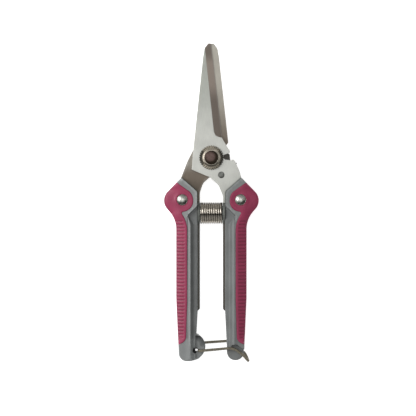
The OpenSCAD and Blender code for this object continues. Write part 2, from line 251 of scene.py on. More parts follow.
def relief(name, keep, front, back, cut, within, guides, fill, sharp_deg, bare=None):
    """A solid over a flat area, with its front and back heights given by functions of places.

    The area is what lies in any loop of keep, in every loop of within and in no loop of cut,
    less the places that bare picks out. Guides are lines, and fill places, that the mesh follows.
    """
    lines = [(loop, True) for loop in [*keep, *cut, *within]]
    lines += [(g, False) for g in guides]
    clear = np.min([away(fill, line, closed) for line, closed in lines], axis=0)
    fill = fill[clear > 0.12]
    coords, edges = [], []
    for line, closed in lines:
        base = len(coords)
        coords += [Vector(p) for p in line]
        n = len(line)
        edges += [(base + i, base + (i + 1) % n) for i in range(n if closed else n - 1)]
    coords += [Vector(p) for p in fill]
    verts, _, tris, _, _, _ = geometry.delaunay_2d_cdt(coords, edges, [], 0, 1e-5)
    flat = np.array([tuple(v) for v in verts], float)
    tris = np.array([t for t in tris if len(t) == 3], int)
    a, b, c = flat[tris[:, 0]], flat[tris[:, 1]], flat[tris[:, 2]]
    area = (b[:, 0] - a[:, 0]) * (c[:, 1] - a[:, 1]) - (b[:, 1] - a[:, 1]) * (c[:, 0] - a[:, 0])
    tris[area < 0] = tris[area < 0][:, ::-1]
    centre = flat[tris].mean(1)
    good = np.any([inside(centre, loop) for loop in keep], axis=0) & (abs(area) > 1e-9)
    for loop in within:
        good &= inside(centre, loop)
    for loop in cut:
        good &= ~inside(centre, loop)
    if bare is not None:
        good &= ~bare(centre)
    tris = tris[good]
    used, tris = np.unique(tris, return_inverse=True)
    tris = tris.reshape(-1, 3)
    flat = flat[used]
    n = len(flat)
    top = np.column_stack([flat, front(flat) + np.zeros(n)])
    bottom = np.column_stack([flat, back(flat) + np.zeros(n)])
    pairs = np.concatenate([tris[:, [0, 1]], tris[:, [1, 2]], tris[:, [2, 0]]])
    seen = {(int(p), int(q)) for p, q in pairs}
    walls = [(p, q) for p, q in seen if (q, p) not in seen]
    walls.sort()
    faces = [tuple(t) for t in tris]
    faces += [tuple(n + t[::-1]) for t in tris]
    faces += [(p, p + n, q + n, q) for p, q in walls]
    return to_object(name, np.vstack([top, bottom]), faces, sharp_deg)


def lathe(name, profile, centre, axis="z", steps=96, sharp_deg=30):
    """A closed profile of [radius, height] turned about an axis; points on the axis become one."""
    points, faces, rows = [], [], []
    for r, h in profile:
        if r < 1e-6:
            rows.append([len(points)] * steps)
            points.append((0, 0, h))
        else:
            rows.append([len(points) + k for k in range(steps)])
            points += [(r * math.cos(2 * math.pi * k / steps), r * math.sin(2 * math.pi * k / steps), h)
                       for k in range(steps)]
    closed = profile[0][0] > 1e-6
    for i in range(len(rows) if closed else len(rows) - 1):
        low, high = rows[i], rows[(i + 1) % len(rows)]
        for k in range(steps):
            m = (k + 1) % steps
            face = [low[k], low[m], high[m], high[k]]
            face = [v for j, v in enumerate(face) if v not in face[:j]]
            if len(face) > 2:
                faces.append(face)
    turned = []
    for x, y, h in points:
        if axis == "x":
            x, y, h = h, x, y
        turned.append((centre[0] + x, centre[1] + y, centre[2] + h))
    return to_object(name, turned, faces, sharp_deg)


def tube(name, path, radius, sides):
    """A round wire along a path of points, with rounded ends."""
    path = np.array(path, float)
    along = np.gradient(path, axis=0)
    along /= np.linalg.norm(along, axis=1)[:, None]
    normal = np.cross(along[0], [0.3, 0.9, 0.1])
    rings, faces = [], []
    stations = [(0, -0.6, 0.45), (0, -0.35, 0.85)]
    stations += [(i, 0, 1) for i in range(len(path))]
    stations += [(len(path) - 1, 0.35, 0.85), (len(path) - 1, 0.6, 0.45)]
    for i, push, scale in stations:
        normal = normal - along[i] * (normal @ along[i])
        normal /= np.linalg.norm(normal)
        side = np.cross(along[i], normal)
        centre = path[i] + along[i] * push * radius
        for k in range(sides):
            a = 2 * math.pi * k / sides
            rings.append(centre + radius * scale * (normal * math.cos(a) + side * math.sin(a)))
    for i in range(len(stations) - 1):
        for k in range(sides):
            m = (k + 1) % sides
            faces.append((i * sides + k, i * sides + m, (i + 1) * sides + m, (i + 1) * sides + k))
    last = (len(stations) - 1) * sides
    faces.append(tuple(range(sides - 1, -1, -1)))
    faces.append(tuple(last + k for k in range(sides)))
    return to_object(name, rings, faces, 60)


def bent(corners, steps):
    """A path through corners [x, y, z, reach], each corner a short curve that starts reach before it."""
    path = [np.array(corners[0][:3], float)]
    for i in range(1, len(corners) - 1):
        a, b, c = (np.array(corners[j][:3], float) for j in (i - 1, i, i + 1))
        r = corners[i][3]
        start = b + (a - b) / np.linalg.norm(a - b) * r
        end = b + (c - b) / np.linalg.norm(c - b) * r
        for k in range(steps + 1):
            t = k / steps
            path.append(start * (1 - t) ** 2 + b * 2 * t * (1 - t) + end * t * t)
    path.append(np.array(corners[-1][:3], float))
    return path


# ---- Materials ----

class Look:
    """A Principled material with helpers for its procedural detail, in millimetres of the object."""

    def __init__(self, name, colour, roughness, metallic=0.0):
        self.mat = bpy.data.materials.new(name)
        self.mat.use_nodes = True
        self.nodes, self.links = self.mat.node_tree.nodes, self.mat.node_tree.links
        self.shader = self.nodes["Principled BSDF"]
        self.shader.inputs["Metallic"].default_value = metallic
        self.shader.inputs["Roughness"].default_value = roughness
        self.shader.inputs["Base Color"].default_value = (*colour, 1)
        base = self.nodes.new("ShaderNodeRGB")
        base.outputs[0].default_value = (*colour, 1)
        self.colour = base.outputs[0]
        coords = self.nodes.new("ShaderNodeTexCoord")
        scale = self.nodes.new("ShaderNodeVectorMath")
        scale.operation = "SCALE"
        scale.inputs["Scale"].default_value = 1 / MM
        self.links.new(coords.outputs["Object"], scale.inputs[0])
        self.where = scale.outputs[0]
        self.normal = None

    def stretched(self, sx, sy, sz):
        node = self.nodes.new("ShaderNodeMapping")
        node.inputs["Scale"].default_value = (sx, sy, sz)
        self.links.new(self.where, node.inputs["Vector"])
        return node.outputs[0]

    def noise(self, scale, detail, where=None):
        node = self.nodes.new("ShaderNodeTexNoise")
        node.inputs["Scale"].default_value = scale
        node.inputs["Detail"].default_value = detail
        self.links.new(where or self.where, node.inputs["Vector"])
        return node.outputs[0]

    def ramp(self, value, low, high, to_low=0.0, to_high=1.0):
        node = self.nodes.new("ShaderNodeMapRange")
        node.interpolation_type = "SMOOTHSTEP"
        for name, v in (("From Min", low), ("From Max", high), ("To Min", to_low), ("To Max", to_high)):
            node.inputs[name].default_value = v
        self.links.new(value, node.inputs["Value"])
        return node.outputs["Result"]

    def mix(self, factor, a, b, mode="MIX"):
        node = self.nodes.new("ShaderNodeMix")
        node.data_type = "RGBA"
        node.blend_type = mode
        for socket, value in ((node.inputs[0], factor), (node.inputs[6], a), (node.inputs[7], b)):
            if hasattr(value, "links"):
                self.links.new(value, socket)
            elif isinstance(value, (int, float)):
                socket.default_value = value
            else:
                socket.default_value = (*value, 1)
        return node.outputs[2]

    def math(self, operation, a, b=None):
        node = self.nodes.new("ShaderNodeMath")
        node.operation = operation
        for socket, value in ((node.inputs[0], a), (node.inputs[1], b)):
            if value is None:
                continue
            if hasattr(value, "links"):
                self.links.new(value, socket)
            else:
                socket.default_value = value
        return node.outputs[0]

    def times(self, a, b):
        return self.math("MULTIPLY", a, b)

    def along(self, start, end):
        """0 at start and 1 at end, both along Y in millimetres from the pivot."""
        return self.ramp(self.axis(1), PIVOT_Y + start, PIVOT_Y + end)

    def axis(self, which):
        node = self.nodes.new("ShaderNodeSeparateXYZ")
        self.links.new(self.where, node.inputs[0])
        return node.outputs[which]

    def attribute(self, name):
        node = self.nodes.new("ShaderNodeAttribute")
        node.attribute_name = name
        return node.outputs["Fac"]

    def tint(self, factor, colour):
        """Mixes colour over what is there, by factor."""
        self.colour = self.mix(factor, self.colour, colour)

    def mottle(self, scale, amount, where=None):
        """Lightens and darkens the colour by up to amount."""
        value = self.ramp(self.noise(scale, 3, where), 0.3, 0.7, 1 - amount, 1 + amount)
        grey = self.nodes.new("ShaderNodeCombineColor")
        for k in range(3):
            self.links.new(value, grey.inputs[k])
        self.colour = self.mix(1.0, self.colour, grey.outputs[0], "MULTIPLY")

    def bump(self, height, strength, distance_mm):
        node = self.nodes.new("ShaderNodeBump")
        node.inputs["Strength"].default_value = strength
        node.inputs["Distance"].default_value = distance_mm * MM
        self.links.new(height, node.inputs["Height"])
        if self.normal is not None:
            self.links.new(self.normal, node.inputs["Normal"])
        self.normal = node.outputs[0]

    def rough(self, scale, low, high, where=None):
        value = self.ramp(self.noise(scale, 4, where), 0.3, 0.7, low, high)
        self.links.new(value, self.shader.inputs["Roughness"])

    def done(self):
        self.links.new(self.colour, self.shader.inputs["Base Color"])
        if self.normal is not None:
            self.links.new(self.normal, self.shader.inputs["Normal"])
        return self.mat


def blade_steel(name, colour, bevel_colour, tip_colour, shank_colour, heel_colour):
    """Satin steel ground along the blade, with painted light: its bevel in its own colour (a dark one on
    the front blade, standing for the shade of the tilted face) with lighter bands painted as reflections,
    painted shade between the handles, in the notch and along the edges of the handles' raised parts, and a
    painted highlight on the plate's broken edge.
    """
    look = Look(name, colour, 0.42, 0.55)
    grain = look.stretched(5.0, 0.22, 5.0)
    look.tint(look.along(8, 50), tip_colour)
    look.tint(look.along(-3, -22), shank_colour)
    look.tint(look.times(look.along(-10, -3), look.along(9, 6)), heel_colour)
    look.mottle(0.09, 0.05)
    look.mottle(1.0, 0.05, grain)
    # Painted shade and painted reflection: on the front blade the bevel's colour is dark to stand for the
    # shade of its tilted face, and the two lighter bands along it are painted reflections
    shade = look.mix(look.along(33, 46), bevel_colour, [1.75 * c for c in bevel_colour])
    shade = look.mix(look.along(56, 63), shade, [1.15 * c for c in bevel_colour])
    look.tint(look.attribute("bevel"), shade)
    # Painted highlight along the plate's broken edge
    look.tint(look.times(look.attribute("edge"), 0.35), (0.75, 0.74, 0.70))
    # Painted shade on the tang below the heads, where the handles' raised sides shadow it
    look.tint(look.along(-29, -38), (0.085, 0.078, 0.066))
    # Painted shade in the notch, on the back blade's front face only
    notch = look.times(look.ramp(look.axis(0), 6.5, 7.5), look.along(6, 3.5))
    look.tint(look.times(notch, look.attribute("shade")), (0.062, 0.058, 0.048))
    # Painted shadow along the edges of the handles' raised parts, where they stand over the blade
    look.tint(look.times(look.attribute("gap"), 0.85), (0.03, 0.042, 0.034))
    look.rough(1.3, 0.36, 0.48, grain)
    look.bump(look.noise(1.6, 4, grain), 0.16, 0.03)
    look.bump(look.noise(9.0, 2), 0.05, 0.02)
    return look.done()


def plain_steel(name, colour, roughness, metallic=0.9, grime=None, painted_shade=None):
    """Handled metal; its last colour, when given, is painted shade on its side away from the light."""
    look = Look(name, colour, roughness, metallic)
    look.mottle(0.8, 0.12)
    if grime is not None:
        look.tint(look.ramp(look.noise(1.36, 5), 0.48, 0.72, 0.0, 0.7), grime)
    if painted_shade is not None:
        # Painted shade, where the vertices say
        look.tint(look.attribute("painted_shade"), painted_shade)
    look.rough(2.4, roughness * 0.8, roughness * 1.25)
    look.bump(look.noise(5.0, 4), 0.08, 0.03)
    return look.done()


def washer_steel():
    """Steel with painted shade on its two sides and in the gaps between its teeth at the lower right, in
    its own lighter colour above and below the nut.
    """
    look = Look("washer_steel", (0.245, 0.22, 0.175), 0.38, 0.85)
    look.mottle(0.8, 0.15)
    # Painted shade on the washer's two sides
    look.tint(look.attribute("painted_shade"), (0.075, 0.070, 0.055))
    # Painted shade in the gaps between the teeth
    look.tint(look.attribute("groove"), (0.03, 0.028, 0.022))
    look.rough(2.4, 0.3, 0.48)
    look.bump(look.noise(5.0, 4), 0.1, 0.03)
    return look.done()


def coil_steel(name, colour, dark):
    """Bright wire with a dark band along the coil painted as a reflection, lighter bands above and below it
    painted as highlights, and painted shade at its upper and lower sides.
    """
    look = Look(name, colour, 0.3, 0.95)
    look.mottle(0.7, 0.14)
    # Painted reflection: a dark band along the coil
    band = look.times(look.along(-35.0, -34.3), look.along(-33.1, -33.8))
    # Painted shade at the coil's upper and lower sides
    sides = look.math("MAXIMUM", look.along(-28.4, -27.6), look.along(-38.5, -39.3))
    # Painted highlights: lighter bands above and below the dark one
    upper = look.times(look.along(-32.4, -31.4), 0.25)
    lower = look.times(look.along(-35.4, -36.2), 0.5)
    look.tint(look.math("MAXIMUM", upper, lower), [min(1, 1.9 * c) for c in colour])
    look.tint(look.times(look.math("MAXIMUM", band, sides), 0.85), dark)
    look.rough(2.4, 0.24, 0.38)
    look.bump(look.noise(5.0, 4), 0.1, 0.03)
    return look.done()


def moulded(name, colour):
    """Fine-grained grey plastic, with painted highlights along its rim and head and on the left handle's
    ear, and painted shade in the catch pocket and on the ear's upper side.
    """
    look = Look(name, colour, 0.48)
    look.mottle(0.12, 0.10)
    look.mottle(2.2, 0.06)
    # Painted highlight where the edge attribute says
    look.tint(look.times(look.attribute("edge"), 0.8), [min(1, 2.3 * c) for c in colour])
    # Painted shade where the dark attribute says
    look.tint(look.attribute("dark"), (0.004, 0.005, 0.005))
    look.rough(1.5, 0.42, 0.56)
    look.bump(look.noise(7.0, 3), 0.22, 0.05)
    return look.done()


def soft_grip(name, colour, groove_colour):
    """Matt soft plastic with a bloom on its ribs, painted shade in its grooves and painted shade along its
    outer edge.
    """
    look = Look(name, colour, 0.5)
    look.mottle(0.10, 0.08)
    look.mottle(3.0, 0.05)
    # Painted shade in the grooves between the ribs
    look.tint(look.times(look.attribute("groove"), 0.75), groove_colour)
    # Painted shade along the outer edge, where the grip rounds away from the light
    look.tint(look.times(look.attribute("edge"), 0.55), [0.62 * c for c in colour])
    look.rough(2.0, 0.44, 0.58)
    look.bump(look.noise(10.0, 3), 0.18, 0.04)
    look.shader.inputs["Sheen Weight"].default_value = 0.12
    look.shader.inputs["Sheen Roughness"].default_value = 0.4
    return look.done()


def polished(name, colour, roughness, scratches=0.05):
    """Bright metal, darkened with painted shade where its vertices are painted."""
    look = Look(name, colour, roughness, 1.0)
    look.mottle(0.9, 0.06)
    # Painted shade, where the vertices say
    look.tint(look.times(look.attribute("painted_shade"), 0.9), (0.06, 0.066, 0.052))
    look.rough(3.0, roughness * 0.7, roughness * 1.6)
    look.bump(look.noise(14.0, 2), scratches, 0.02)
    return look.done()


def seat_plastic():
    """Scuffed dark plastic."""
    look = Look("seat_plastic", (0.12, 0.126, 0.113), 0.35)
    look.mottle(1.2, 0.25)
    look.rough(2.0, 0.42, 0.6)
    look.bump(look.noise(6.0, 3), 0.2, 0.04)
    return look.done()


# Second colour is the bevel's: on the front blade it is dark, as painted shade
FRONT_STEEL = blade_steel("front_blade_steel", (0.565, 0.57, 0.53), (0.28, 0.235, 0.20),
                          (0.40, 0.415, 0.375), (0.51, 0.515, 0.475), (0.575, 0.58, 0.54))
BACK_STEEL = blade_steel("back_blade_steel", (0.175, 0.145, 0.115), (0.30, 0.28, 0.25), (0.43, 0.41, 0.355),
                         (0.14, 0.112, 0.083), (0.27, 0.25, 0.215))
# Last colour of the bolt: painted shade round its dome's rim
BOLT_STEEL = plain_steel("bolt_steel", (0.120, 0.080, 0.070), 0.34, 0.8, (0.05, 0.032, 0.025),
                         painted_shade=(0.022, 0.015, 0.008))
NUT_METAL = polished("nut_metal", (0.47, 0.42, 0.35), 0.26)
WASHER_STEEL = washer_steel()
SPACER_BRASS = plain_steel("spacer_brass", (0.60, 0.46, 0.22), 0.35, 1.0)
# Last colour of the pin: painted shade on its side away from the light
PIN_STEEL = plain_steel("pin_steel", (0.20, 0.205, 0.19), 0.40, 0.75, painted_shade=(0.075, 0.077, 0.07))
# Last colour: the coil's painted reflection band and painted shade at its sides
SPRING_STEEL = coil_steel("spring_steel", (0.42, 0.385, 0.335), (0.035, 0.028, 0.022))
SEAT = seat_plastic()
GREY = moulded("handle_plastic", (0.168, 0.176, 0.174))
# Last colour: painted shade in the grooves between the ribs
GRIP = soft_grip("grip_rubber", (0.305, 0.026, 0.080), (0.125, 0.008, 0.028))
CHROME = polished("rivet_chrome", (0.64, 0.65, 0.59), 0.30, 0.03)
RIVET_STEEL = plain_steel("rivet_steel", (0.50, 0.49, 0.47), 0.3)
CATCH_STEEL = plain_steel("catch_steel", (0.19, 0.172, 0.128), 0.44, 0.5, (0.14, 0.12, 0.092))


def dress(piece, body, node, material):
    """Gives a piece its material in a slot and its body, and hides the CAD node it stands for."""
    piece.data.materials.append(material)
    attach(piece, body)
    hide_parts(node)


def paint(piece, name, values):
    """A value at each vertex that the material reads."""
    attribute = piece.data.attributes.new(name, "FLOAT", "POINT")
    attribute.data.foreach_set("value", np.asarray(values, np.float32))


def flat_places(piece):
    """The places of a piece's vertices, in millimetres from the pivot."""
    co = np.array([v.co for v in piece.data.vertices], float) / MM
    co[:, 1] -= PIVOT_Y
    return co


# ---- Blades ----

# What the raised part of the right handle leaves clear: the blade, and the ledge towards the middle
CLEAR = [[24.6, -6.3, 0], [24.6, 2, 0], [-6, 2, 0], [-6, -130, 0], [12.6, -130, 0], [12.6, -40, 10],
         [14.3, -34.5, 1.2], [8.6, -28.9, 2.2], [8.6, -20.3, 2.2]]
CLEAR_LOOP = outline(CLEAR)


def plate_corners(spine, arch, shoulder, tip):
    """A blade's outline: down its left edge, over the arch, round the tang and up its right edge."""
    return [
        *spine, *arch, [TANG_X, -90.8, 0.5], [TANG_X + 1.6, -92.4, 0.5], [13, -92.4, 1.5], [13, -38, 8],
        [22.6, -29.5, 4], [22.6, -21, 4], *shoulder, [8.8, 7.6, 6], [6.45, 11.6, 1.5], *tip,
    ]


FRONT_CORNERS = plate_corners(
    [[-0.3, TIP_Y, 0.3], [-1.9, TIP_Y, 0.5], [-4.15, TIP_Y - 3.0, 1.2], [-5.05, TIP_Y - 8.6, 30],
     [-10.95, 4.5, 30], [-11.8, -7.2, 0.6]],
    [[-0.8, -11.8, 2.5], [4.3, -16.35, 7], [TANG_X, -23, 7]],
    [[18.4, -13.5, 1], [16.9, -7.8, 16], [13.55, -0.75, 1.2], [11.2, -1.6, 0.3], [11.1, 4.3, 0.7]],
    [[-0.1, TIP_Y - 1.5, 1]])
BACK_CORNERS = plate_corners(
    [[-1.5, TIP_Y, 0.9], [-3.7, TIP_Y - 3.0, 3.2], [-4.65, TIP_Y - 8.6, 30], [-12.0, -7.2, 0.8]],
    [[0.9, -11.65, 2.5], [5.0, -15.2, 6], [TANG_X, -21, 6]],
    [[18.9, -13.5, 1], [14.45, -2.0, 20], [10.65, 5.4, 3]],
    [[1.0, TIP_Y - 3, 2], [0.9, TIP_Y, 0.3]])
NOTCH = [[12.5, -1.5, 0], [12.5, 3.35, 0], [7.7, 1.9, 0.3], [7.1, 0.9, 0.3], [7.3, -0.3, 0.3],
         [8.2, -1.2, 0.3]]                  # the wire notch
BEVEL_FOOT = np.array([1.56, 14.0])         # where the bevel's upper line meets its lower end
BEVEL_TIP = np.array([-3.9, 65.0])
BEVEL_ALONG = (BEVEL_TIP - BEVEL_FOOT) / np.linalg.norm(BEVEL_TIP - BEVEL_FOOT)
PLUNGE = np.array([[-1.2, 19.5], [0.6, 16.4], [1.56, 14.4], [2.3, 13.2], [3.96, 12.5], [6.5, 11.8],
                   [9, 11.2]])              # the bevel's lower end
BEVEL_SLOPE = 2.05 / 4.5
EDGE_T = 0.15                               # thickness left at the cutting edge
PLATE_EDGE = 0.16                           # width of the broken edge round a plate
SLOT_HALF = 1.45
SHOULDER_R = 15.6
TIP_RELIEF = (13, 5.9, 4.3)                 # hollow in the back blade behind the front one's heel


def bevel_depth(places):
    """How far the ground bevel lies below the face of a blade, seen with its spine on the left."""
    off = places - BEVEL_FOOT
    past = off[:, 0] * BEVEL_ALONG[1] - off[:, 1] * BEVEL_ALONG[0]
    above = away(places, PLUNGE, closed=False) * np.where(beyond_plunge(places), 1, -1)
    return np.clip(past, 0, 9) * BEVEL_SLOPE * smooth(above / 1.1)


def beyond_plunge(places):
    """Whether a place lies on the tip's side of the bevel's lower end."""
    return places[:, 1] > np.interp(places[:, 0], PLUNGE[:, 0], PLUNGE[:, 1])


def bevel_guides():
    """Lines along the bevel's upper side and across its lower end."""
    u = BEVEL_ALONG
    right = np.array([u[1], -u[0]])
    lines = [np.array([BEVEL_FOOT + right * off - u * 0.5, BEVEL_TIP + right * off + u * 6])
             for off in (0.0, 0.25)]
    lines += [PLUNGE + np.array([0.25, 1.0]) * off for off in (0.02, 0.3, 0.6, 0.9, 1.2)]
    return [dense(line, 0.9) for line in lines]


def blade(name, corners, plate, flip, cut, extra, material, body, node):
    """A ground plate; flip mirrors it and puts its bevel on the back."""
    hand, side = halves(flip)
    edge = hand(outline(corners))
    keep = [edge, *extra]
    low, high = plate
    deepest = high - low - EDGE_T

    def border(places):
        return np.clip(np.max([depth(places, loop) for loop in keep], axis=0), 0, None)

    def ground(places):
        return np.minimum(bevel_depth(places * side), deepest)

    def upper(places):
        worn_and_painted_light = 0 if flip else ground(places)
        return high - worn_and_painted_light - rounding(border(places), PLATE_EDGE) * 0.6

    def lower(places):
        return low + (ground(places) if flip else 0)

    fill = grid(-24, 24, -93, 70, 1.6, 1.6)
    fill = fill[depth(fill, edge) > 0.6]
    lines = [hand(line) for line in bevel_guides()]
    lines += [ring(hand(outline(inset(corners, d)))) for d in (0.06, PLATE_EDGE)]
    lines += [hand(contour(CLEAR, d, 1.5)) for d in (0.0, 0.3, 0.6, 1.0)]
    piece = relief(name, keep, upper, lower, cut, (), lines, fill, 18)
    co = flat_places(piece)
    places, z = co[:, :2], co[:, 2]
    bevel_low, bevel_high = (low + 0.01, low + PLATE_T) if flip else (low + 0.05, high - 0.01)
    on_face = z > high - 0.3
    gap = np.clip(depth(places * side, CLEAR_LOOP), 0, None)
    # Where the bevel's colour goes, with its painted shade and painted reflection bands
    paint(piece, "bevel", smooth(ground(places) / 0.12) * ((bevel_low < z) & (z < bevel_high)))
    # Where the painted shadow along the handles' raised edges goes
    paint(piece, "gap", np.exp(-(gap / 0.5) ** 2) * (places[:, 1] < -10) * on_face)
    # Where the painted highlight along the broken edge goes
    paint(piece, "edge", 1 - smooth(border(places) / 0.3))
    # Where the painted shade in the notch may go: the back blade's front face
    paint(piece, "shade", flip * on_face)
    dress(piece, body, node, material)


def stop_shoulder():
    """The hidden sector of the back blade that holds the stop pin's slot, as a loop."""
    return np.vstack([[[0.5, 0.0]], arc(0, 0, SHOULDER_R, np.radians(np.linspace(-73, -11, 24)))])


def slot_loop():
    """The curved slot of the stop pin, as a loop."""
    mid = math.hypot(PIN_X, PIN_Y)
    start = math.atan2(PIN_Y, PIN_X)
    end = start + math.radians(max(JOINTS["blade_pivot"]["range_deg"]))
    along = np.linspace(start, end, 16)
    turn = np.linspace(0, np.pi, 10)[1:-1]
    far = arc(mid * np.cos(end), mid * np.sin(end), SLOT_HALF, end + turn)
    near = arc(mid * np.cos(start), mid * np.sin(start), SLOT_HALF, start + np.pi + turn)
    return np.vstack([arc(0, 0, mid + SLOT_HALF, along), far,
                      arc(0, 0, mid - SLOT_HALF, along)[::-1], near])


blade("front_blade_ground", FRONT_CORNERS, FRONT_PLATE, False,
      [circle(0, 0, BORE_R), circle(RIVET_X, RIVET_Y, RIVET_HOLE_R, 24), outline(NOTCH),
       circle(PIN_X, PIN_Y, 2.0, 32)],
      [], FRONT_STEEL, "right_half", "front_blade")
blade("back_blade_ground", BACK_CORNERS, BACK_PLATE, True,
      [circle(0, 0, BORE_R), circle(-RIVET_X, RIVET_Y, RIVET_HOLE_R, 24), slot_loop(),
       circle(*TIP_RELIEF, 32)],
      [stop_shoulder()], BACK_STEEL, "left_half", "back_blade")


# ---- Handles ----

OUTER_SIDE = [[19.4, -121.9, 5], [21.05, -84, 60], [21.05, -36.9, 16], [31, -25.4, 7.5]]
ENVELOPE = [[10, -3.6, 0], [2, -3.6, 0], [2, -121.9, 0], *OUTER_SIDE]
INNER = [[HANDLE_X, -27.5, 0.5], [HANDLE_X, -91.2, 0.5], [9.35, -112, 20], [9.35, -117, 1], [14, -117, 1],
         [14, -27.5, 0.5]]
GRIP_AREA = [[24, -12.6, 0], [10.9, -21.9, 6.7], [10.9, -31.7, 6.2], [18.3, -32.5, 1.0],
             [14.45, -38.9, 16], [14.45, -86, 40], [15.2, -109.7, 4.2], [23, -113.3, 0], [34, -113.3, 0],
             [34, -12.6, 0]]
END = [[9.3, -109, 0], [9.3, -121.5, 5.0], [19.6, -121.5, 5.0], [19.2, -109, 0]]
FRONT_RECESS = [[6, -130, 0], [32, -130, 0], [32, -118, 0], [20.7, -116.3, 2], [15.0, -112.0, 3.5],
                [12.4, -112.3, 0.6], [12.0, -114.3, 0.4], [6, -114.3, 0]]
BACK_RECESS = [[6, -130, 0], [32, -130, 0], [32, -120.2, 0], [6, -105.1, 0]]

ENVELOPE_LOOP = outline(ENVELOPE, 14)
INNER_LOOP = outline(INNER)
GRIP_LOOP = outline(GRIP_AREA)
RIVET_SEAT_R = 3.4
CORE_DEPTH, CORE_INSET = 1.3, 1.6       # the handle below and inside its grip
RIM_TILT = 0.22                         # fall of the rim's top towards the outside
RIB_DEPTH = 0.42
RIBS_TO_X = 24                          # the ribs stay inside this


def rib_wave(y):
    """0 on a rib's crest and 1 in a groove."""
    wave = 1 - np.abs(np.sin(np.pi * (y - RIBS_FROM) / RIB_PITCH))
    within = smooth((RIBS_FROM - y) / 1.2) * smooth((y - RIBS_TO) / 1.2)
    return wave ** 1.3 * within


def ribs(places, inner):
    """1 in the grooves of a grip, 0 elsewhere; inner is the distance from its inner edge."""
    return rib_wave(places[:, 1]) * smooth((inner - 1.3) / 0.7) * (places[:, 0] < RIBS_TO_X)


def grip_height(places):
    """Height of a grip's face, right-hand side, crowned outwards from its inner edge."""
    inner = np.maximum(depth(places, GRIP_LOOP), 0)
    outer = away(places, ENVELOPE_LOOP)
    width = np.maximum(inner + outer, 0.5)
    z = GRIP_Z - 0.15 - np.minimum(2.4, 0.36 * width) * (inner / width) ** 1.7
    z -= rounding(inner, 0.35)
    z = np.minimum(z, GRIP_Z + 0.2 - rounding(outer, EDGE_R + 0.6))
    z -= RIB_DEPTH * ribs(places, inner)
    rivet = np.hypot(places[:, 0] - RIVET_X, places[:, 1] - RIVET_Y) - RIVET_SEAT_R
    seat = GRIP_Z - 0.55
    return np.where(rivet < 2.2, seat + (z - seat) * smooth(rivet / 2.2), z)


def slope_width(y):
    """Width of the step down from the rim: sharp round the head, wide along the grip."""
    return 0.45 + 1.45 * smooth((-35.5 - y) / 5)


def handle_height(places, soft_inside=True):
    """Height of a handle's face above its middle, right-hand side, ends left out."""
    rim = -depth(places, CLEAR_LOOP)
    step = smooth(1 + rim / slope_width(places[:, 1]))
    z = LEDGE_Z + (TOP_Z - LEDGE_Z) * step
    z -= RIM_TILT * np.clip(rim, 0, 3)
    if soft_inside:
        inner_edge = np.where(places[:, 1] < -27.6, away(places, INNER_LOOP), 9)
        z -= rounding(np.where(rim < 0, inner_edge, 9), 0.6)
    z = np.minimum(z, TOP_Z - rounding(away(places, ENVELOPE_LOOP), EDGE_R))
    under = depth(places, GRIP_LOOP)
    core = np.minimum(z, grip_height(places) - CORE_DEPTH)
    z = z + (core - z) * smooth((under + 0.1) / 0.25)
    return z - MID_Z


def handle_guides(hand):
    """Lines along the edges of the rim, the outside, the grip and the inner face."""
    lines = []
    for corners, offsets, steps in ((CLEAR, (0.0, 0.15, 0.3, 0.45, 0.9, 1.4, 1.9), 8),
                                    (ENVELOPE, (0.05, 0.18, 0.4, 0.75, 1.2, CORE_INSET, EDGE_R), 14),
                                    (GRIP_AREA, (-0.1, 0.15), 8),
                                    (INNER, (0.12, 0.3, 0.6), 8)):
        lines += [hand(contour(corners, d, 2.5, steps)) for d in offsets]
    return lines


def handle(name, flip, keep, cut, ends, body, node):
    """A moulded handle; ends changes the height near its end and gives its own guides."""
    hand, side = halves(flip)
    end_front, end_back, end_guides = ends

    def front(places):
        return MID_Z + end_front(places * side, handle_height(places * side))

    def back(places):
        return MID_Z - end_back(places * side, handle_height(places * side))

    def bare(places):
        seen = places * side
        return (depth(seen, GRIP_LOOP) > 0.15) & (away(seen, ENVELOPE_LOOP) < CORE_INSET)

    fill = grid(3.5, 30, -123, -9, 1.1, 1.1)
    fill = fill[np.any([inside(fill, loop) for loop in keep], axis=0)]
    guides = handle_guides(hand) + [hand(g) for g in end_guides]
    piece = relief(name, [hand(k) for k in keep], front, back, [hand(c) for c in cut], (), guides,
                   hand(fill), 40, bare)
    co = flat_places(piece)
    seen = co[:, :2] * side
    x, y = seen.T
    rim = -depth(seen, CLEAR_LOOP)
    # Painted highlight along the rim's step, on the handle's front
    worn_and_painted_light = np.exp(-((rim - 0.55) / 0.5) ** 2) * (y > -112) * (co[:, 2] > MID_Z)
    # Painted highlight on the head band
    head = 0.38 * smooth((y + 40) / 4) * smooth((rim + 0.2) / 0.2)
    # Painted light on the left handle's ear, which faces the key light
    ear = 0.42 * flip * smooth((-107.5 - y) / 1.5)
    paint(piece, "edge", np.maximum(np.maximum(worn_and_painted_light, head), ear))
    # Painted shade in the blind pocket beside the catch's hole
    pocket = smooth((depth(seen, POCKET_LOOP) + 0.25) / 0.25)
    # Painted shade on the ear's falling upper side
    shadow = 0.5 * ear_fall(seen) * (y < EAR_TOP_Y) * (x < EAR_FROM_X)
    paint(piece, "dark", flip * np.maximum(pocket, shadow))
    dress(piece, body, node, GREY)


# The raised part follows the head's upper side, the outside and the rim
HEAD_SIDE = [[18.09, -12.0, 0.8], [8.6, -20.3, 2.2], [8.6, -28.9, 2.2], [14.3, -34.5, 1.2], [12.6, -40, 10]]
RAISED_LOOP = outline([*HEAD_SIDE, [12.6, -121.9, 0.4], *OUTER_SIDE], 14)
SHORT_RAISED = outline([*HEAD_SIDE, [12.6, -114.5, 0], [19.7, -114.5, 0], *OUTER_SIDE[1:]], 14)
SHORT_INNER = outline(INNER[:2] + [[9.35, -114.5, 0], [14, -114.5, 0], [14, -27.5, 0.5]])
RIVET_HOLE = circle(RIVET_X, RIVET_Y, RIVET_HOLE_R, 24)

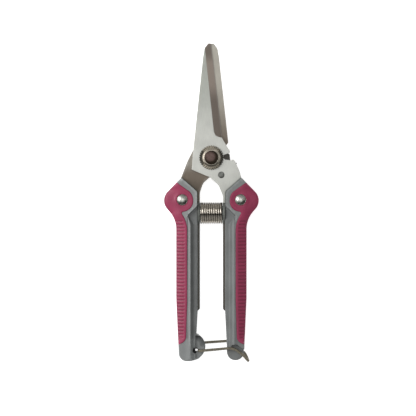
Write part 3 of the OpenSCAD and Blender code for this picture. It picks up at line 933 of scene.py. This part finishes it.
EAR_LOOP = circle(EAR_X, EAR_Y, EAR_R, 72)
EAR_FROM_X, EAR_TOP_Y = 9.5, -106.6         # where the ear leaves the body
EAR_WEB = outline([[14.5, -110, 0], [8.5, -110, 0], [5.8, -118.7, 0], [8.1, -120.95, 4], [14.5, -121.9, 0]])
CATCH_SLOT = outline([[7.3, -114.7, 0.5], [7.3, -116.3, 0.5], [9.75, -116.3, 0.7], [9.75, -114.7, 0.7]])
POCKET = [[9.0, -114.1, 0.4], [9.0, -116.9, 0.4], [11.1, -116.9, 1.2], [11.1, -114.1, 1.2]]
POCKET_LOOP = outline(POCKET)
POCKET_DEPTH = 3.0


def ear_fall(places):
    """1 at the free upper side of the ear, 0 on its flat."""
    x, y = places.T
    around = np.degrees(np.arctan2(y - EAR_Y, EAR_X - x))
    free = smooth((around + 8) / 25) * smooth((115 - around) / 30)
    return free * smooth(1 - depth(places, EAR_LOOP) / 3.6)


def ear_ends():
    """Left handle: the ear lies lower than the ledge, and falls away to its free upper side."""

    def height(places, z):
        x, y = places.T
        edge = np.max([depth(places, loop) for loop in (EAR_LOOP, EAR_WEB, RAISED_LOOP)], axis=0)
        ear = EAR_Z - MID_Z - 2.1 * ear_fall(places) - rounding(edge, 0.7)
        climb = smooth((x - EAR_FROM_X + 0.3) / 0.6)
        body = np.minimum(handle_height(places, soft_inside=False), z + 9)
        joined = ear + (body - ear) * climb
        z = np.where((y < EAR_TOP_Y) & (edge > -0.1), joined, z)
        return z - POCKET_DEPTH * smooth((depth(places, POCKET_LOOP) + 0.05) / 0.15)

    rings = [circle(EAR_X, EAR_Y, EAR_R - d, 72) for d in (0.1, 0.3, 0.7, 1.4, 2.2, 3.4)]
    rings += [outline(inset(POCKET, d)) for d in (-0.05, 0.1)]
    lines = [np.array([[x, -122.0], [x, EAR_TOP_Y]]) for x in (9.2, 9.35, 9.5, 9.65, 9.8)]
    lines += [np.array([[3.0, y], [10.0, y]]) for y in (EAR_TOP_Y, EAR_TOP_Y + 0.1)]
    lines = [dense(line, 0.8) for line in lines]
    return height, height, [ring(loop) for loop in rings] + lines


def thin_end():
    """Right handle: its rounded end is thin enough for the legs of the catch."""
    end_loop = outline(END, 12)

    def side_height(recess):
        loop = outline(recess)

        def height(places, z):
            lowest = places[:, 1] < -112
            end = END_Z - MID_Z - rounding(np.where(lowest, away(places, end_loop), 9), 0.8)
            t = smooth((depth(places, loop) + 0.5) / 0.6) * (places[:, 1] < -104)
            return z + (end - z) * t
        return height

    lines = []
    for recess in (FRONT_RECESS, BACK_RECESS):
        lines += [contour(recess, d, 1.0) for d in (-0.5, -0.3, -0.1, 0.1)]
    lines += [ring(outline(inset(END, d), 12)) for d in (0.1, 0.3, 0.8)]
    return side_height(FRONT_RECESS), side_height(BACK_RECESS), lines


handle("left_handle_moulding", True, [RAISED_LOOP, INNER_LOOP, EAR_LOOP, EAR_WEB],
       [CATCH_SLOT, RIVET_HOLE], ear_ends(), "left_half", "left_handle")
handle("right_handle_moulding", False, [SHORT_RAISED, SHORT_INNER, outline(END, 12)], [RIVET_HOLE],
       thin_end(), "right_half", "right_handle")


# ---- Grips ----

def grip(name, flip, body, node):
    """A soft cover, ribbed along its outside, the same in front and behind."""
    hand, side = halves(flip)
    guides = [contour(ENVELOPE, d, 0.5, 14) for d in (0.06, 0.18, 0.4, 0.8, 1.3, 2.0, 2.8)]
    guides += [contour(GRIP_AREA, d, 0.6) for d in (0.1, 0.35)]
    guides += [ring(circle(RIVET_X, RIVET_Y, RIVET_SEAT_R + d, 48)) for d in (0.25, 0.6, 1.2, 2.2)]
    fine = grid(14.8, 21.1, RIBS_TO - 0.6, RIBS_FROM + 0.6, 0.55, RIB_PITCH / 10)
    coarse = grid(10, 30, -34, -12, 0.9, 0.9)
    tail = grid(14.8, 21.1, -114, RIBS_TO - 0.8, 0.8, 0.8)
    fill = np.vstack([fine, coarse, tail])
    fill = fill[(depth(fill, GRIP_LOOP) > 0.4) & (depth(fill, ENVELOPE_LOOP) > 0.05)]
    seat = circle(RIVET_X, RIVET_Y, RIVET_SEAT_R, 48)
    piece = relief(name, [hand(GRIP_LOOP)], lambda p: grip_height(p * side),
                   lambda p: 2 * MID_Z - grip_height(p * side), [hand(seat)],
                   [hand(dense(ring(ENVELOPE_LOOP), 0.5)[:-1])], [hand(g) for g in guides], hand(fill), 50)
    seen = flat_places(piece)[:, :2] * side
    inner = np.maximum(depth(seen, GRIP_LOOP), 0)
    # Where the painted shade in the grooves goes
    paint(piece, "groove", ribs(seen, inner))
    # Where the painted shade along the outer edge goes
    paint(piece, "edge", 1 - smooth(away(seen, ENVELOPE_LOOP) / 1.1))
    dress(piece, body, node, GRIP)


grip("left_grip_ribbed", True, "left_half", "left_grip")
grip("right_grip_ribbed", False, "right_half", "right_grip")


# ---- Rivets ----

def arc_profile(r, low, rise, steps=12):
    """Points from the rim of a dome of radius r up to its top."""
    ball = (r * r + rise * rise) / (2 * rise)
    reach = math.asin(min(1, r / ball))
    turns = [reach * (1 - k / steps) for k in range(steps + 1)]
    points = [[ball * math.sin(a), low + rise - ball + ball * math.cos(a)] for a in turns]
    points[-1][0] = 0
    return points


def rivet_set(side, body, sign):
    """Domed rivet, cupped washer under it and hollow tail behind."""
    at = (sign * RIVET_X, RIVET_Y, 0)
    top = span(side + "_rivet", 2)[1]
    cup_low, cup_high = span(side + "_rivet_washer", 2)
    low, post_high = span(side + "_rivet_post", 2)
    dome = [[0, cup_low - 6], [1.05, cup_low - 6], [1.05, cup_high - 0.1], [2.5, cup_high - 0.1],
            [2.75, cup_high + 0.1]]
    dome += arc_profile(2.75, cup_high + 0.25, top - cup_high - 0.25)
    piece = lathe(side + "_rivet_dome", dome, at)
    u, v, _ = (flat_places(piece) - at).T
    # Painted shade and painted reflection: a dark crescent on the dome's lower side
    paint(piece, "painted_shade", smooth((np.hypot(u, v) - 1.2) / 0.5) * smooth((0.35 * u - v - 0.6) / 0.6))
    dress(piece, body, side + "_rivet", CHROME)
    cup = [[RIVET_HOLE_R, cup_low], [3.0, cup_low], [3.3, cup_low + 0.3], [3.3, cup_high - 0.2],
           [3.18, cup_high - 0.05], [3.02, cup_high], [2.86, cup_high - 0.08], [2.72, cup_high - 0.3],
           [RIVET_HOLE_R, cup_high - 0.35]]
    dress(lathe(side + "_rivet_cup", cup, at), body, side + "_rivet_washer", CHROME)
    post = [[0, low + 0.25], [0.9, low + 0.25], [1.15, low], [2.9, low], [3.2, low + 0.12],
            [3.3, low + 0.35], [3.3, low + 1.0], [1.6, low + 1.0], [1.6, post_high], [1.1, post_high],
            [1.1, low + 1.5], [0, low + 1.5]]
    dress(lathe(side + "_rivet_tail", post, at), body, side + "_rivet_post", RIVET_STEEL)


rivet_set("left", "left_half", -1)
rivet_set("right", "right_half", 1)


# ---- Pivot ----

def pivot_bolt():
    """Flat round head behind, dark dome in front."""
    low, high = span("pivot_bolt", 2)
    nut_high = span("pivot_nut", 2)[1]
    profile = [[0, low + 0.9], [2.0, low + 0.9], [2.4, low + 0.5], [2.6, low], [5.1, low],
               [5.7, low + 0.12], [6.2, low + 0.5], [6.45, low + 1.1], [6.5, low + 2.0],
               [6.5, low + 2.2], [4.0, low + 2.2], [4.0, nut_high + 0.05]]
    profile += arc_profile(3.95, nut_high + 0.12, high - nut_high - 0.12)
    piece = lathe("pivot_bolt_domed", profile, (0, 0, 0))
    u, v, _ = flat_places(piece).T
    # Painted shade round the dome's rim, stronger to the lower right, away from the light
    paint(piece, "painted_shade", smooth((np.hypot(u, v) + 0.25 * (u - v) - 1.6) / 2.0))
    dress(piece, "left_half", "pivot_bolt", BOLT_STEEL)


def pivot_nut():
    """Bright ring with a sloping face."""
    low, high = span("pivot_nut", 2)
    profile = [[4.03, low], [5.4, low], [5.4, low + 0.75], [5.34, low + 0.9], [5.2, low + 1.02],
               [4.72, high - 0.14], [4.6, high - 0.04], [4.45, high], [4.25, high], [4.12, high - 0.06],
               [4.03, high - 0.25]]
    piece = lathe("pivot_nut_turned", profile, (0, 0, 0))
    u, v, _ = flat_places(piece).T
    # Painted shade towards the nut's lower right, away from the light
    paint(piece, "painted_shade", 0.62 * smooth((u - 0.6 * v + 1.5) / 4))
    dress(piece, "left_half", "pivot_nut", NUT_METAL)


def spacer_washer():
    """Thin washer that just clears the front blade."""
    top = FRONT_PLATE[0]
    profile = [[BORE_R, top - 0.2], [6.35, top - 0.2], [6.4, top - 0.15], [6.4, top - 0.06],
               [6.35, top - 0.01], [BORE_R, top - 0.01]]
    dress(lathe("spacer_washer_thin", profile, (0, 0, 0)), "left_half", "spacer_washer",
          SPACER_BRASS)


def stop_pin():
    """Stepped pin with a dished end."""
    low, high = span("stop_pin", 2)
    step = FRONT_PLATE[0]
    profile = [[0, low], [1.15, low], [1.3, low + 0.15], [1.3, step], [PIN_HEAD_R, step],
               [PIN_HEAD_R, high - 0.3], [1.75, high - 0.16], [1.5, high - 0.2], [0, high - 0.42]]
    at = (PIN_X, PIN_Y, 0)
    piece = lathe("stop_pin_dished", profile, at, steps=48)
    u, v, _ = (flat_places(piece) - at).T
    # Painted shade on the pin's lower right, away from the light
    paint(piece, "painted_shade", smooth((u - v + 0.4) / 1.8))
    dress(piece, "right_half", "stop_pin", PIN_STEEL)


def toothed_washer():
    """Washer with cut teeth, its rim a little rounded."""
    low, high = span("toothed_washer", 2)
    outer = span("toothed_washer", 0)[1]
    teeth, per_tooth = 32, 8
    steps = teeth * per_tooth
    # Radius, height, and share of the cut between teeth that reaches there
    profile = [[BORE_R, low, 0], [outer, low, 1], [outer, high - 0.22, 1],
               [0.965 * outer, high - 0.05, 1], [0.93 * outer, high, 0.9], [0.86 * outer, high, 0.5],
               [0.80 * outer, high, 0], [BORE_R, high, 0]]
    points, faces = [], []
    for k in range(steps):
        a = 2 * math.pi * k / steps
        phase = (k % per_tooth) / per_tooth
        cut = max(0.0, 1 - abs(phase - 0.5) / 0.3)
        for r, h, share in profile:
            radius = r - 0.6 * cut * share
            sunk = 0.4 * cut * share if h > low else 0
            points.append((radius * math.cos(a), radius * math.sin(a), h - sunk))
    n = len(profile)
    for k in range(steps):
        m = (k + 1) % steps
        for j in range(n):
            i = (j + 1) % n
            faces.append((k * n + j, m * n + j, m * n + i, k * n + i))
    piece = to_object("toothed_washer_cut", points, faces, 30)
    u, v, _ = flat_places(piece).T
    around = np.arctan2(v, u)
    # Where the painted shade between the teeth is strongest: the lower right
    worn_and_painted_light = np.exp(-((np.degrees(around) + 35) / 22) ** 2)
    between = np.abs(np.sin(teeth / 2 * around)) > 0.75
    # Painted shade on the washer's left and right sides
    paint(piece, "painted_shade", smooth((np.abs(u) - 1.2 * np.abs(v) + 1.5) / 3))
    paint(piece, "groove", worn_and_painted_light * between * (np.hypot(u, v) > 6.0))
    dress(piece, "left_half", "toothed_washer", WASHER_STEEL)


pivot_bolt()
pivot_nut()
spacer_washer()
stop_pin()
toothed_washer()


# ---- Spring ----

def spring():
    """Closely wound coil from one handle to the other, its end turns lying flat."""
    low_x, high_x = span("return_spring", 0)
    low_y, high_y = span("return_spring", 1)
    mean_r = (high_y - low_y) / 2 - COIL_WIRE_R
    turns, steps = 10, 30
    dead = 0.045                            # share of the coil that lies flat at each end
    first, last = low_x + COIL_WIRE_R, high_x - COIL_WIRE_R
    path = []
    for i in range(turns * steps + 1):
        t = i / (turns * steps)
        lead = np.clip((t - dead) / (1 - 2 * dead), 0, 1)
        a = 2 * math.pi * turns * t
        path.append((first + (last - first) * lead, SPRING_Y + mean_r * math.cos(a),
                     MID_Z + mean_r * math.sin(a)))
    piece = tube("return_spring_coil", path, COIL_WIRE_R, 12)
    piece.data.materials.append(SPRING_STEEL)
    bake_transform(piece)
    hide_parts("return_spring")


def spring_seat(side, body, sign):
    """Cup against the tang's edge with a stud inside the coil."""
    near, far = sorted(abs(x) for x in span(side + "_spring_seat", 0))
    low_y, high_y = span(side + "_spring_seat", 1)
    reach, cup_r = far - near, (high_y - low_y) / 2
    cup_t = reach - 2.6                     # the rest of its reach is the stud
    profile = [[0, 0], [cup_r - 0.2, 0], [cup_r, 0.2], [cup_r, cup_t - 0.35], [cup_r - 0.12, cup_t - 0.1],
               [cup_r - 0.4, cup_t], [4.3, cup_t], [4.3, reach - 0.5], [4.15, reach - 0.15], [3.8, reach],
               [0, reach]]
    turned = [[r, -sign * h] for r, h in profile]
    if sign > 0:
        turned = turned[::-1]
    piece = lathe(side + "_spring_cup", turned, (sign * HANDLE_X, SPRING_Y, MID_Z), "x", 72)
    dress(piece, body, side + "_spring_seat", SEAT)


spring()
spring_seat("left", "left_half", -1)
spring_seat("right", "right_half", 1)


# ---- Catch ----

def catch():
    """Wire from the ear's hole, over the right handle's end, round the crossbar and back behind."""
    low, high = span("catch_wire", 2)
    front, back = high - WIRE_R, low + WIRE_R
    x, y = CATCH_AT
    corners = [
        [x, y, MID_Z, 0], [x, y, front, 1.2], [13.3, -113.7, front, 3.6], [19.3, -118.3, front, 1.8],
        [*CROSSBAR, front, 1.4], [*CROSSBAR, back, 1.4], [20.3, -118.1, back, 1.4],
        [10.8, -110.65, back, 2.2], [-5.2, -111.8, back, 1.6], [x, y, back, 1.2], [x, y, MID_Z - 0.3, 0],
    ]
    path = dense(bent(corners, 10), 0.9)
    dress(tube("catch_wire_bent", path, WIRE_R, 20), "catch", "catch_wire", CATCH_STEEL)


catch()


# ---- Floor, light and camera ----

def floor():
    """Plain white sheet just under the snips."""
    mesh = bpy.data.meshes.new("floor")
    s, z = 3.0, -0.0004
    mesh.from_pydata([(-s, -s, z), (s, -s, z), (s, s, z), (-s, s, z)], [], [(0, 1, 2, 3)])
    obj = add_object("floor", mesh)
    look = Look("floor_white", (0.92, 0.92, 0.92), 0.9)
    look.mottle(0.004, 0.01)
    look.shader.inputs["Emission Color"].default_value = (1, 1, 1, 1)
    look.shader.inputs["Emission Strength"].default_value = 0.75
    look.shader.inputs["Specular IOR Level"].default_value = 0.1
    mesh.materials.append(look.done())


def softbox(name, place, size, power):
    """A square area light aimed at the handles, in metres and watts."""
    data = bpy.data.lights.new(name, "AREA")
    data.shape = "SQUARE"
    data.size = size
    data.energy = power
    obj = add_object(name, data)
    obj.location = place
    obj.rotation_euler = (Vector((0, -0.02, 0)) - Vector(place)).to_track_quat("-Z", "Y").to_euler()


def camera():
    """Straight above the snips, tips up, with a long lens."""
    data = bpy.data.cameras.new("camera")
    data.sensor_width = 36
    data.lens = 120
    width, focus_z = 0.2496, 0.010
    obj = add_object("camera", data)
    obj.location = (-0.00204, -0.00323, focus_z + width * data.lens / data.sensor_width)
    bpy.context.scene.camera = obj


floor()
softbox("key", (-0.75, 0.25, 0.58), 0.55, 7.0)
softbox("top", (0.05, 0.10, 1.35), 1.0, 3.2)
softbox("low_fill", (-0.15, -0.95, 0.55), 0.6, 0.5)
world = bpy.data.worlds.new("studio")
world.use_nodes = True
background = world.node_tree.nodes["Background"]
background.inputs["Color"].default_value = (1, 1, 1, 1)
background.inputs["Strength"].default_value = 0.30
bpy.context.scene.world = world
bpy.context.scene.view_settings.view_transform = "Standard"
camera()
